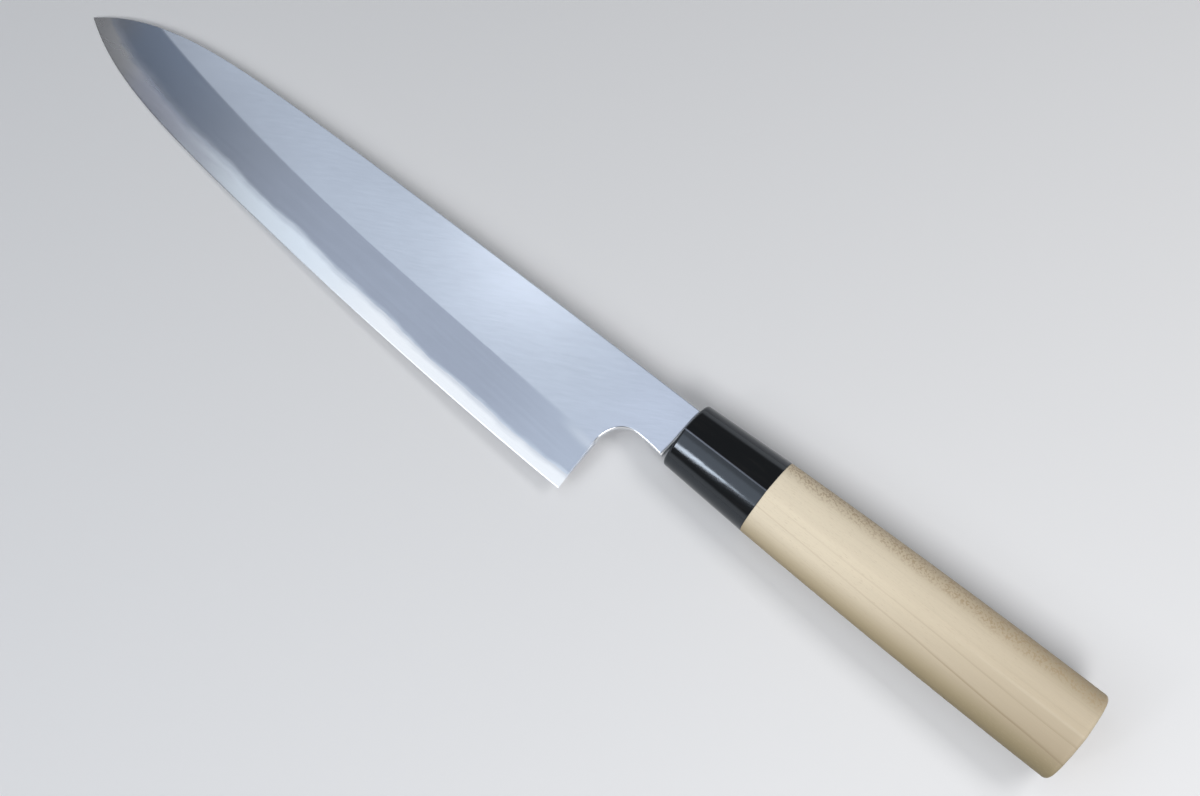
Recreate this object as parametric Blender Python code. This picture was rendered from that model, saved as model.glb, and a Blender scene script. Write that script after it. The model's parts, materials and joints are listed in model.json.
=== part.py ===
"""Gyuto, a Japanese chef's knife: a three-layer blade of the 210 mm class on a D-section wooden handle.

Metres, +Z up. The pieces are drawn in the knife's own frame: X runs along the handle's axis, from the
ferrule's front face towards the butt, Y from the edge to the spine, Z out of the blade's left face.
Their parent empty then lays the knife on the ground as it comes to rest, left face up.
"""

import math

import bmesh
import bpy
from mathutils import Matrix, Vector

# Blade outline, on the left face
EDGE_LENGTH = 0.2065
NECK_LENGTH = 0.0174
HEEL_DROP = 0.0332
TIP_DROP = 0.0103
SPINE_RISE = 0.0075
CHOIL_LENGTH = 0.0080
CHOIL_TOP = 0.0075
CHOIL_RISE = 0.0070
NECK_FLARE = 0.0012

# Shape of the outline's curves: shares of the whole drop, each with its power of the way to the tip
EDGE_FORM = ((0.59, 1.57), (0.41, 10.8))
SPINE_FORM = ((0.20, 2.3), (0.80, 11.8))
SHINOGI_FORM = ((0.38, 0.47), (0.62, 3.0))

# Grinding: a flat upper face that thins towards tip and edge, and a wide bevel below the shinogi line
SPINE_THICKNESS = 0.0030
POINT_THICKNESS = 0.0013
FACE_FALL = 0.004
SHINOGI_DROP = 0.0185
ALL_BEVEL_LENGTH = 0.0200
EDGE_LAND = 0.00005
EDGE_SLOPE = 0.27
SPINE_ROUND = 0.0004

# Lamination: where the hard core comes out of the cladding, as a height above the edge that wavers
CORE_SHOW_HEEL = 0.0038
CORE_SHOW_TIP = 0.0068
CORE_WAVES = ((0.00035, 1.53, 2.67), (0.00025, 5.9, 1.36))
WELD_GAP = 0.00003

# Tang
MACHI_GAP = 0.0003
TANG_LENGTH = 0.086
TANG_HEIGHT = 0.0090
TANG_END_HEIGHT = 0.0050
TANG_END_THICKNESS = 0.0018
TANG_POINT = 0.003

# Handle: D section, an oval with one ridge along the left side
FERRULE_LENGTH = 0.0284
FERRULE_HEIGHT = 0.0200
FERRULE_THICKNESS = 0.0170
JOINT_HEIGHT = 0.0228
JOINT_THICKNESS = 0.0193
WOOD_LENGTH = 0.0995
BUTT_HEIGHT = 0.0264
BUTT_THICKNESS = 0.0214
OVAL_POWER = 2.3
RIDGE_SHARE = 0.25
FERRULE_ROUND = 0.0016
BUTT_ROUND = 0.0014
JOINT_GAP = 0.00005

# Inside the handle
DOWEL_RADIUS = 0.0064
DOWEL_CLEARANCE = 0.0001
DOWEL_IN_WOOD = 0.030
MOUTH_DEPTH = 0.0065
MOUTH_HEIGHT = 0.0122
MOUTH_WIDTH = 0.0056
SEAL_SINK = 0.0004
SEAL_CLEARANCE = 0.00015
TANG_CLEARANCE = 0.00025
TANG_END_ROOM = 0.004
CUT_BEYOND = 0.0015

# Fineness of the meshes
BLADE_COLUMNS = 60
TIP_CROWDING = 1.25
NECK_COLUMNS = 14
SECTION_POINTS = 64
WOOD_RINGS = 10
ROUND_RINGS = 4
DOWEL_SIDES = 32
SHARP_DEGREES = 14
HALVINGS = 40
ZERO_WIDTH = 1e-7

# Densities in kg/m3, for the centre of gravity
STEEL_DENSITY = 7850
HORN_DENSITY = 1300
WOOD_DENSITY = 500
RESIN_DENSITY = 1100

# The most that the knife leans where it lies
MOST_TILT = math.radians(25)

HEEL_X = -NECK_LENGTH
TIP_X = HEEL_X - EDGE_LENGTH
RUNOUT_X = TIP_X + ALL_BEVEL_LENGTH


def clear_scene():
    for old in list(bpy.data.objects):
        bpy.data.objects.remove(old, do_unlink=True)


def finish_material(name, colour, roughness, metallic=0.0):
    material = bpy.data.materials.new(name)
    material.use_nodes = True
    shader = material.node_tree.nodes["Principled BSDF"]
    shader.inputs["Base Color"].default_value = (*colour, 1.0)
    shader.inputs["Roughness"].default_value = roughness
    shader.inputs["Metallic"].default_value = metallic
    return material


def add_object(name, mesh, material, parent, location=(0, 0, 0)):
    """A closed bmesh as an object of the knife, smooth but for its real edges."""
    bmesh.ops.recalc_face_normals(mesh, faces=mesh.faces)
    data = bpy.data.meshes.new(name)
    mesh.to_mesh(data)
    mesh.free()
    data.materials.append(material)
    data.shade_smooth()
    data.set_sharp_from_angle(angle=math.radians(SHARP_DEGREES))
    piece = bpy.data.objects.new(name, data)
    piece.location = location
    piece.parent = parent
    bpy.context.scene.collection.objects.link(piece)
    return piece


def form(shares, way):
    """How far a curve of the outline has gone, from 0 to 1, part of the way to its end."""
    way = min(max(way, 0.0), 1.0)
    return sum(share * way**power for share, power in shares)


def edge_y(x):
    way = (HEEL_X - x) / EDGE_LENGTH
    return -HEEL_DROP + (HEEL_DROP - TIP_DROP) * form(EDGE_FORM, way)


def spine_y(x):
    way = x / TIP_X
    return SPINE_RISE - (SPINE_RISE + TIP_DROP) * form(SPINE_FORM, way)


def shinogi_y(x):
    """The line where the bevel starts; it runs out at the spine, and from there to the tip all is bevel."""
    if x <= RUNOUT_X:
        return spine_y(x)
    way = (HEEL_X - x) / (HEEL_X - RUNOUT_X)
    return -SHINOGI_DROP + (SHINOGI_DROP + spine_y(RUNOUT_X)) * form(SHINOGI_FORM, way)


def face_half(x, y):
    """Half the thickness of the flat upper face, which is one plane on each side."""
    thinning = (SPINE_THICKNESS - POINT_THICKNESS) / 2 / -RUNOUT_X
    return SPINE_THICKNESS / 2 + thinning * x - FACE_FALL * (SPINE_RISE - y)


def bevel_slope(x):
    x = min(max(x, RUNOUT_X), HEEL_X)
    rise = face_half(x, shinogi_y(x)) - EDGE_LAND
    return rise / (shinogi_y(x) - edge_y(x))


def blade_half(x, y):
    """Half the thickness at any point of the blade and its neck."""
    if x > HEEL_X:
        return face_half(x, y)
    height = max(y - edge_y(x), 0.0)
    return min(face_half(x, y), EDGE_LAND + bevel_slope(x) * height, EDGE_SLOPE * height)


def core_show(x):
    """Height of the bare core above the edge."""
    way = min(max((HEEL_X - x) / EDGE_LENGTH, 0.0), 1.0)
    height = CORE_SHOW_HEEL + (CORE_SHOW_TIP - CORE_SHOW_HEEL) * way
    for size, turns, phase in CORE_WAVES:
        height += size * math.sin(2 * math.pi * turns * way + phase)
    return height


def core_half(x):
    x = min(x, HEEL_X)
    return EDGE_LAND + bevel_slope(x) * core_show(x)


def tang_half_height(x):
    way = min(max(x / TANG_LENGTH, 0.0), 1.0)
    return (TANG_HEIGHT + (TANG_END_HEIGHT - TANG_HEIGHT) * way) / 2


def tang_half(x):
    way = x / TANG_LENGTH
    return (SPINE_THICKNESS + (TANG_END_THICKNESS - SPINE_THICKNESS) * way) / 2


def metal_half(x, y):
    """Half the thickness anywhere from the tip to the tang's end."""
    if x > 0:
        return min(tang_half(x), face_half(0, y))
    return blade_half(x, y)


def cladding_front():
    """Where the lamination line meets the spine, found by halving the stretch near the tip."""
    low = TIP_X
    high = RUNOUT_X
    for _ in range(HALVINGS):
        middle = (low + high) / 2
        if edge_y(middle) + core_show(middle) + WELD_GAP / bevel_slope(middle) > spine_y(middle):
            low = middle
        else:
            high = middle
    return high


def core_rows(x):
    """Heights of the core's rows below the shinogi line: edge, fine bevel and lamination line."""
    edge = edge_y(x)
    return [edge, edge + EDGE_LAND / (EDGE_SLOPE - bevel_slope(x)), edge + core_show(x)]


def cladding_rows(x):
    return [edge_y(x) + core_show(x) + WELD_GAP / bevel_slope(x)]


def choil_curve():
    """Pairs of points round the choil and under the neck: on the outline, and one rounding inside it."""
    pairs = []
    turn_columns = NECK_COLUMNS // 2
    for i in range(turn_columns + 1):
        angle = math.pi / 2 * i / turn_columns
        x = HEEL_X + CHOIL_LENGTH * (1 - math.cos(angle))
        y = -CHOIL_TOP - CHOIL_RISE * (1 - math.sin(angle))
        inward = Vector((-math.cos(angle) / CHOIL_LENGTH, math.sin(angle) / CHOIL_RISE)).normalized()
        pairs.append(((x, y), (x + SPINE_ROUND * inward.x, y + SPINE_ROUND * inward.y)))
    start = HEEL_X + CHOIL_LENGTH
    length = -MACHI_GAP - start
    under_columns = NECK_COLUMNS - turn_columns
    for i in range(1, under_columns + 1):
        way = i / under_columns
        x = start + length * way
        y = -CHOIL_TOP - NECK_FLARE * way**2
        pairs.append(((x, y), (x, y + SPINE_ROUND)))
    return pairs


def mix(a, b, way):
    return a + (b - a) * way


def spine_rounding(x):
    """The rounding along the spine, which shrinks with the cladding towards the tip."""
    room = blade_half(x, spine_y(x)) - core_half(x) - WELD_GAP
    return min(SPINE_ROUND, max(room, 0.0) / 2)


def blade_outline_blocks(low_rows, front):
    """The plan of one layer of the blade, as blocks of columns of (x, y, rounded) points.

    The columns run from the front point to the heel, a strip closes the heel's rear edge, more columns
    run on above the choil to the neck's end, and two more blocks hold the choil's strip and the tang.
    """
    back = HEEL_X - SPINE_ROUND
    choil_y = -CHOIL_TOP - CHOIL_RISE
    heel_span = spine_y(back) - spine_rounding(back) - shinogi_y(back)
    row_drop = CHOIL_RISE / 2
    neck_low = -TANG_HEIGHT / 2 - row_drop
    neck_high = TANG_HEIGHT / 2 - row_drop
    levels = [(y - shinogi_y(back)) / heel_span for y in (choil_y, neck_low, neck_high)]

    def column(x):
        spine = spine_y(x)
        inner = spine - spine_rounding(x)
        shinogi = min(shinogi_y(x), inner)
        rows = low_rows(x) + [shinogi] + [mix(shinogi, inner, level) for level in levels] + [inner]
        climbing = []
        for y in rows:
            climbing.append(min(max([y, *climbing]), inner))
        return [(x, y, False) for y in climbing] + [(x, spine, True)]

    blade = []
    for i in range(BLADE_COLUMNS + 1):
        way = (i / BLADE_COLUMNS) ** TIP_CROWDING
        blade.append(column(mix(front, back, way)))

    low_count = len(low_rows(back))
    heel_inside = blade[-1][: low_count + 2]
    heel_rows = low_rows(HEEL_X) + [shinogi_y(HEEL_X), choil_y]
    heel = [heel_inside, [(HEEL_X, y, True) for y in heel_rows]]

    curve = choil_curve()
    neck = [blade[-1][low_count + 1 :]]
    for i in range(1, len(curve)):
        way = i / (len(curve) - 1)
        bottom = curve[i][1]
        top_x = mix(back, -MACHI_GAP, way)
        low = (mix(bottom[0], top_x, 1 / 3), mix(neck_low, -TANG_HEIGHT / 2, way), False)
        high = (mix(bottom[0], top_x, 2 / 3), mix(neck_high, TANG_HEIGHT / 2, way), False)
        spine = spine_y(top_x)
        inner = spine - spine_rounding(top_x)
        neck.append([(*bottom, False), low, high, (top_x, inner, False), (top_x, spine, True)])

    choil = [[(*outer, True), (*inner, False)] for outer, inner in curve]

    tang = []
    for x in (-MACHI_GAP, 0.0, TANG_LENGTH - TANG_POINT, TANG_LENGTH):
        half = tang_half_height(x)
        if x == TANG_LENGTH:
            half -= TANG_POINT / 2
        tang.append([(x, -half, False), (x, half, False)])
    return [blade, heel, neck, choil, tang]


def plate(blocks, upper, lower):
    """A closed bmesh over a plan: an upper and a lower surface, and a rim along every free edge."""
    mesh = bmesh.new()
    tops = {}
    bottoms = {}
    uses = {}

    def corner(x, y, rounded):
        key = (round(x, 8), round(y, 8))
        if key not in tops:
            top = upper(x, y, rounded)
            bottom = lower(x, y, rounded)
            tops[key] = mesh.verts.new((x, y, top))
            bottoms[key] = tops[key] if top - bottom < ZERO_WIDTH else mesh.verts.new((x, y, bottom))
        return key

    def face(corners):
        ring = list(dict.fromkeys(corners))
        if len(ring) > 2:
            mesh.faces.new(ring)

    for columns in blocks:
        for left, right in zip(columns, columns[1:]):
            for i in range(len(left) - 1):
                keys = [corner(*p) for p in (left[i], right[i], right[i + 1], left[i + 1])]
                keys = list(dict.fromkeys(keys))
                if len(keys) < 3:
                    continue
                face([tops[k] for k in keys])
                face([bottoms[k] for k in reversed(keys)])
                for a, b in zip(keys, keys[1:] + keys[:1]):
                    uses.setdefault(frozenset((a, b)), []).append((a, b))

    for ways in uses.values():
        if len(ways) == 1:
            a, b = ways[0]
            face([tops[b], tops[a], bottoms[a], bottoms[b]])
    return mesh


def make_core(material, knife):
    """The hard centre layer, whose lower edge is the cutting edge."""
    def surface(x, y, rounded):
        return min(metal_half(x, y), core_half(x))

    blocks = blade_outline_blocks(core_rows, TIP_X)
    mesh = plate(blocks, surface, lambda *point: -surface(*point))
    return add_object("core_steel", mesh, material, knife)


def make_cladding(name, side, material, knife):
    """A soft outer layer; side is 1 for the left and -1 for the right."""
    def inner(x, y, rounded):
        return core_half(x) + WELD_GAP

    def outer(x, y, rounded):
        full = max(metal_half(x, y), inner(x, y, rounded))
        room = full - inner(x, y, rounded)
        return full - min(SPINE_ROUND, room / 2) if rounded else full

    blocks = blade_outline_blocks(cladding_rows, cladding_front())
    mesh = plate(blocks, outer, inner)
    bmesh.ops.transform(mesh, matrix=Matrix.Scale(side, 4, (0, 0, 1)), verts=mesh.verts)
    return add_object(name, mesh, material, knife)


def d_section(height, thickness, inset=0.0):
    """Points (y, z) round the handle: an oval that rises to a ridge along the middle of its left side."""
    half_height = height / 2 - inset
    half_thickness = thickness / 2 - inset
    points = []
    for i in range(SECTION_POINTS):
        angle = 2 * math.pi * i / SECTION_POINTS
        across = math.copysign(abs(math.cos(angle)) ** (2 / OVAL_POWER), math.cos(angle))
        out = math.copysign(abs(math.sin(angle)) ** (2 / OVAL_POWER), math.sin(angle))
        if out > 0:
            out = mix(out, 1 - abs(across), RIDGE_SHARE)
        points.append((half_height * across, half_thickness * out))
    return points


def loft(rings):
    """A closed bmesh through rings of (x, points), capped at both ends."""
    mesh = bmesh.new()
    loops = [[mesh.verts.new((x, y, z)) for y, z in points] for x, points in rings]
    count = len(loops[0])
    for first, second in zip(loops, loops[1:]):
        for i in range(count):
            j = (i + 1) % count
            mesh.faces.new((first[i], first[j], second[j], second[i]))
    mesh.faces.new(loops[0])
    mesh.faces.new(loops[-1])
    return mesh


def rounding(radius):
    """Steps of (distance from the end face, inset) round a quarter circle, starting on the end face."""
    steps = []
    for i in range(ROUND_RINGS):
        angle = math.pi / 2 * i / ROUND_RINGS
        steps.append((radius * (1 - math.cos(angle)), radius * (1 - math.sin(angle))))
    return steps


def ferrule_size(x):
    way = x / FERRULE_LENGTH
    return mix(FERRULE_HEIGHT, JOINT_HEIGHT, way), mix(FERRULE_THICKNESS, JOINT_THICKNESS, way)


def wood_size(x):
    """Height and thickness of the wood at a distance from the joint; it swells fast, then runs level."""
    way = x / WOOD_LENGTH
    swell = 2 * way - way**2
    return mix(JOINT_HEIGHT, BUTT_HEIGHT, swell), mix(JOINT_THICKNESS, BUTT_THICKNESS, swell)


def add_cutter(name, mesh, target):
    """A hidden solid that a Boolean takes out of its target."""
    bmesh.ops.recalc_face_normals(mesh, faces=mesh.faces)
    data = bpy.data.meshes.new(name)
    mesh.to_mesh(data)
    mesh.free()
    cutter = bpy.data.objects.new(name, data)
    cutter.parent = target
    cutter.hide_render = True
    cutter.display_type = "WIRE"
    bpy.context.scene.collection.objects.link(cutter)
    cut = target.modifiers.new(name, "BOOLEAN")
    cut.operation = "DIFFERENCE"
    cut.solver = "EXACT"
    cut.object = cutter
    return cutter


def rod(radius, start, end):
    circle = [
        (radius * math.cos(2 * math.pi * i / DOWEL_SIDES), radius * math.sin(2 * math.pi * i / DOWEL_SIDES))
        for i in range(DOWEL_SIDES)
    ]
    return loft([(start, circle), (end, circle)])


def rectangle(half_height, half_width):
    signs = ((1, 1), (-1, 1), (-1, -1), (1, -1))
    return [(half_height * up, half_width * out) for up, out in signs]


def tang_room(clearance, start, end, shift):
    """The tang's space between two places on the handle's axis, as a cutter whose frame starts at shift."""
    rings = []
    for x in (start, end):
        points = rectangle(tang_half_height(x) + clearance, tang_half(x) + clearance)
        rings.append((x - shift, points))
    return loft(rings)


def make_ferrule(material, knife):
    """The horn collar: rounded at the front, with a mouth for the tang and a socket for the dowel."""
    rings = [(x, d_section(*ferrule_size(x), inset)) for x, inset in rounding(FERRULE_ROUND)]
    rings += [(x, d_section(*ferrule_size(x))) for x in (FERRULE_ROUND, FERRULE_LENGTH)]
    ferrule = add_object("ferrule", loft(rings), material, knife)
    mouth = rectangle(MOUTH_HEIGHT / 2, MOUTH_WIDTH / 2)
    add_cutter("ferrule_mouth", loft([(-CUT_BEYOND, mouth), (MOUTH_DEPTH + CUT_BEYOND, mouth)]), ferrule)
    socket_radius = DOWEL_RADIUS + DOWEL_CLEARANCE
    add_cutter("ferrule_socket", rod(socket_radius, MOUTH_DEPTH, FERRULE_LENGTH + CUT_BEYOND), ferrule)
    return ferrule


def make_handle(material, knife):
    """The wooden grip, with the dowel's socket and the slot for the rest of the tang."""
    start = FERRULE_LENGTH + JOINT_GAP
    stations = [WOOD_LENGTH * i / WOOD_RINGS for i in range(WOOD_RINGS)] + [WOOD_LENGTH - BUTT_ROUND]
    rings = [(x, d_section(*wood_size(x))) for x in stations]
    for distance, inset in reversed(rounding(BUTT_ROUND)):
        x = WOOD_LENGTH - distance
        rings.append((x, d_section(*wood_size(x), inset)))
    handle = add_object("handle", loft(rings), material, knife, (start, 0, 0))
    socket_radius = DOWEL_RADIUS + DOWEL_CLEARANCE
    socket_end = DOWEL_IN_WOOD + DOWEL_CLEARANCE
    add_cutter("handle_socket", rod(socket_radius, -CUT_BEYOND, socket_end), handle)
    slot_start = start + socket_end - CUT_BEYOND
    slot_end = TANG_LENGTH + TANG_END_ROOM
    add_cutter("handle_slot", tang_room(TANG_CLEARANCE, slot_start, slot_end, start), handle)
    return handle


def make_dowel(material, knife):
    """The wooden dowel that joins ferrule and handle, slotted for the tang."""
    start = MOUTH_DEPTH + DOWEL_CLEARANCE
    end = FERRULE_LENGTH + JOINT_GAP + DOWEL_IN_WOOD
    dowel = add_object("ferrule_dowel", rod(DOWEL_RADIUS, 0.0, end - start), material, knife, (start, 0, 0))
    slot = tang_room(TANG_CLEARANCE, start - CUT_BEYOND, end + CUT_BEYOND, start)
    add_cutter("dowel_slot", slot, dowel)
    return dowel


def make_seal(material, knife):
    """The ring of resin that fills the ferrule's mouth round the tang."""
    depth = MOUTH_DEPTH - 2 * SEAL_SINK
    block = rectangle(MOUTH_HEIGHT / 2 - SEAL_CLEARANCE, MOUTH_WIDTH / 2 - SEAL_CLEARANCE)
    seal = add_object("tang_seal", loft([(0.0, block), (depth, block)]), material, knife, (SEAL_SINK, 0, 0))
    hole = tang_room(SEAL_CLEARANCE, SEAL_SINK - CUT_BEYOND, SEAL_SINK + depth + CUT_BEYOND, SEAL_SINK)
    add_cutter("seal_hole", hole, seal)
    return seal


def evaluated_bmesh(piece, graph):
    mesh = bmesh.new()
    shown = piece.evaluated_get(graph)
    mesh.from_mesh(shown.to_mesh())
    shown.to_mesh_clear()
    mesh.transform(piece.matrix_world)
    bmesh.ops.triangulate(mesh, faces=mesh.faces)
    return mesh


def weigh(mesh, density):
    """Mass, and mass times centre, from the tetrahedra between the origin and each triangle."""
    mass = 0.0
    moment = Vector()
    for face in mesh.faces:
        a, b, c = (vertex.co for vertex in face.verts)
        part = density * a.dot(b.cross(c)) / 6
        mass += part
        moment += part * (a + b + c) / 4
    return mass, moment


def lay_down(knife, pieces):
    """Turns the knife onto the face of its hull that lies nearest its centre of gravity, left side up."""
    bpy.context.view_layer.update()
    graph = bpy.context.evaluated_depsgraph_get()
    hull = bmesh.new()
    mass = 0.0
    moment = Vector()
    for piece, density in pieces:
        mesh = evaluated_bmesh(piece, graph)
        piece_mass, piece_moment = weigh(mesh, density)
        mass += piece_mass
        moment += piece_moment
        for vertex in mesh.verts:
            hull.verts.new(vertex.co)
        mesh.free()
    centre = moment / mass
    points = [vertex.co.copy() for vertex in hull.verts]
    bmesh.ops.convex_hull(hull, input=hull.verts)
    hull.normal_update()
    under = [face for face in hull.faces if face.normal.z < -math.cos(MOST_TILT)]
    rest = min(under, key=lambda face: (face.verts[0].co - centre).dot(face.normal))
    up = -rest.normal
    hull.free()

    side = up.cross(Vector((1, 0, 0))).normalized()
    turn = Matrix((side.cross(up), side, up))
    turned = [turn @ point for point in points]
    low = Vector([min(point[axis] for point in turned) for axis in range(3)])
    high = Vector([max(point[axis] for point in turned) for axis in range(3)])
    knife.rotation_euler = turn.to_euler()
    knife.location = (-(low.x + high.x) / 2, -(low.y + high.y) / 2, -low.z)


def build():
    clear_scene()
    knife = bpy.data.objects.new("gyuto", None)
    bpy.context.scene.collection.objects.link(knife)

    core = finish_material("core_steel", (0.78, 0.80, 0.83), 0.25, 1.0)
    cladding = finish_material("cladding_steel", (0.60, 0.64, 0.70), 0.38, 1.0)
    horn = finish_material("horn", (0.020, 0.021, 0.023), 0.12)
    magnolia = finish_material("magnolia", (0.76, 0.66, 0.49), 0.55)
    dowel_wood = finish_material("dowel_wood", (0.66, 0.54, 0.38), 0.60)
    resin = finish_material("resin", (0.05, 0.045, 0.04), 0.45)

    pieces = [
        (make_core(core, knife), STEEL_DENSITY),
        (make_cladding("cladding_left", 1, cladding, knife), STEEL_DENSITY),
        (make_cladding("cladding_right", -1, cladding, knife), STEEL_DENSITY),
        (make_ferrule(horn, knife), HORN_DENSITY),
        (make_handle(magnolia, knife), WOOD_DENSITY),
        (make_dowel(dowel_wood, knife), WOOD_DENSITY),
        (make_seal(resin, knife), RESIN_DENSITY),
    ]
    lay_down(knife, pieces)


build()
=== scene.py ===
"""Looks of the gyuto: fine meshes and finishes for blade, ferrule and grip, and camera, floor and light.

Lengths are metres, and the finishes work in millimetres. The pieces are drawn in the knife's own frame,
as in the solids: X runs along the handle's axis to the butt, from where the solids' ferrule begins, Y from
the edge to the spine, and Z out of the blade's left face. The record's mounts say how that frame lies in
the world. Hira is the flat upper face of the blade, and shinogi the line where the bevel begins.
"""

import json
import math

import bmesh
import bpy
from mathutils import Matrix, Vector


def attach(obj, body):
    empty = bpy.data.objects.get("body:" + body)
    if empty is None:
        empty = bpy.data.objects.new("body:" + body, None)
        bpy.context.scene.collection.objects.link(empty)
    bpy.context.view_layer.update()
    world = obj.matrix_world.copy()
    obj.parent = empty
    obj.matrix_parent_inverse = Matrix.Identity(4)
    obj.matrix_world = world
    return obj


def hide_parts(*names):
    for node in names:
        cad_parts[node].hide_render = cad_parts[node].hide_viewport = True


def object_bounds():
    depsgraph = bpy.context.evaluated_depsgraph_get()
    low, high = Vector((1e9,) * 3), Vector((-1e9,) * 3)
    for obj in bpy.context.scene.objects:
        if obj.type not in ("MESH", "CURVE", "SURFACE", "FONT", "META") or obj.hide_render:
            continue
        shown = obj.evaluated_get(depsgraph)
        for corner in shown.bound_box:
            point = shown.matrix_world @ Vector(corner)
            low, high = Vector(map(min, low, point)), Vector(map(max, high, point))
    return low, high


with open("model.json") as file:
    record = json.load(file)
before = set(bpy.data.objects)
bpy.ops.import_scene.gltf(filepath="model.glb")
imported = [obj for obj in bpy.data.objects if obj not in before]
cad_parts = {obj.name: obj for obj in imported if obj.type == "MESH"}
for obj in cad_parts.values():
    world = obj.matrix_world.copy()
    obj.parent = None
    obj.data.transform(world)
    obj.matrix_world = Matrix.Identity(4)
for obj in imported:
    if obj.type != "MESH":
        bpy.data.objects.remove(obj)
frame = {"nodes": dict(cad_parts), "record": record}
cad_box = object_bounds()

MM = 0.001

# Blade outline and grinding, as in the solids. A form is pairs of a share and a power, and each wave is
# its size, its turns over the edge's length and its phase.
EDGE_LENGTH = 0.2065
NECK_LENGTH = 0.0174
HEEL_DROP = 0.0332
TIP_DROP = 0.0103
SPINE_RISE = 0.0075
EDGE_FORM = ((0.59, 1.57), (0.41, 10.8))
SPINE_FORM = ((0.20, 2.3), (0.80, 11.8))
SHINOGI_FORM = ((0.38, 0.47), (0.62, 3.0))
SPINE_THICKNESS = 0.0030
POINT_THICKNESS = 0.0013
FACE_FALL = 0.004
SHINOGI_DROP = 0.0185
ALL_BEVEL_LENGTH = 0.0200
EDGE_LAND = 0.00005
EDGE_SLOPE = 0.27
SPINE_ROUND = 0.0004
CORE_SHOW_HEEL = 0.0038
CORE_SHOW_TIP = 0.0068
CORE_WAVES = ((0.00035, 1.53, 2.67), (0.00025, 5.9, 1.36), (0.00009, 15.3, 0.4), (0.00005, 37.0, 2.1))
WELD_GAP = 0.00001

# Closer to the photo than the solids, by about a millimetre: the choil and the neck's underside, the
# shinogi by the heel, the neck's leaning end and the ferrule's front
CHOIL_LENGTH = 0.0072
CHOIL_TOP = 0.0081
CHOIL_RISE = 0.0090
NECK_FLARE = 0.0007
SHINOGI_STRAIGHT_X = -0.026
SHINOGI_FALL = 0.090
NECK_END_TOP = 0.0003
NECK_END_BOTTOM = -0.0007
FERRULE_FRONT = 0.0007
FERRULE_ROUND = 0.0008

# Tang, as in the solids
TANG_LENGTH = 0.086
TANG_HEIGHT = 0.0090
TANG_END_HEIGHT = 0.0050
TANG_END_THICKNESS = 0.0018
TANG_POINT = 0.003

# Handle, as in the solids
FERRULE_LENGTH = 0.0284
FERRULE_HEIGHT = 0.0200
FERRULE_THICKNESS = 0.0170
JOINT_HEIGHT = 0.0228
JOINT_THICKNESS = 0.0193
WOOD_LENGTH = 0.0995
BUTT_HEIGHT = 0.0264
BUTT_THICKNESS = 0.0214
OVAL_POWER = 2.3
RIDGE_SHARE = 0.25
BUTT_ROUND = 0.0014
JOINT_GAP = 0.00005
DOWEL_RADIUS = 0.0064
DOWEL_CLEARANCE = 0.0001
DOWEL_IN_WOOD = 0.030
MOUTH_DEPTH = 0.0065
MOUTH_HEIGHT = 0.0122
MOUTH_WIDTH = 0.0056
SEAL_SINK = 0.0004
SEAL_CLEARANCE = 0.00005
TANG_CLEARANCE = 0.00025
TANG_END_ROOM = 0.004

# What the fine meshes add: softened creases, small chamfers, rounded corners and the resin's sag. The
# corners of the mouth and the slot are given by an oval's power.
RIDGE_SOFT = 0.02
SHINOGI_SOFT = 0.00012
SHINOGI_SOFT_HEEL = 0.0003
SHINOGI_SOFT_REACH = 0.030
CHOIL_ROUND = 0.00055
NECK_CHAMFER = 0.00035
NECK_CHAMFER_DROP = 0.00018
JOINT_CHAMFER = 0.00007
MOUTH_CORNERS = 7.0
SLOT_CORNERS = 9.0
MENISCUS = 0.00035

# Fineness of the meshes
BLADE_COLUMNS = 260
TIP_CROWDING = 1.25
NECK_COLUMNS = 56
ROUND_STEPS = 4
SECTION_POINTS = 320
WOOD_RINGS = 40
CORNER_STEPS = 10
SEAL_POINTS = 96
SEAL_STEPS = 6
CREASE_DEGREES = 32
CORE_CREASE_DEGREES = 3
HALVINGS = 40
ZERO_WIDTH = 1e-7
PLAN_DIGITS = 8
LARGE_FACE_WEIGHT = 80

# Floor: half its side, its gap below the knife, and from where to where it turns into the backdrop
FLOOR_REACH = 12.0
FLOOR_DROP = 0.0002
FLOOR_LIT = 0.45
FLOOR_END = 1.5

# Places that follow from the sizes; the tang's two rows of points start lower, at the blade's heel
HEEL_X = -NECK_LENGTH
HEEL_BACK = HEEL_X - SPINE_ROUND
CHOIL_BOTTOM = -CHOIL_TOP - CHOIL_RISE
TIP_X = HEEL_X - EDGE_LENGTH
RUNOUT_X = TIP_X + ALL_BEVEL_LENGTH
WOOD_START = FERRULE_LENGTH + JOINT_GAP
HANDLE_LENGTH = WOOD_START + WOOD_LENGTH
TANG_ROWS = (-TANG_HEIGHT / 2, TANG_HEIGHT / 2)
TANG_ROWS_AT_HEEL = tuple(y - CHOIL_RISE / 2 for y in TANG_ROWS)

# The photograph's camera, in the knife's frame: place, turn about X, Y and Z, and the picture's roll
PICTURE_WIDTH = 1200
SENSOR_WIDTH = 36.0
FOCUS_PIXELS = 1451.5
CAMERA_PLACE = (0.06630, -0.04750, 0.38868)
CAMERA_TURN = (0.11518, 0.22296, 0.05811)
CAMERA_ROLL = math.radians(-36.1)


def mix(a, b, way):
    return a + (b - a) * way


def within(value, low, high):
    return min(max(value, low), high)


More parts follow.
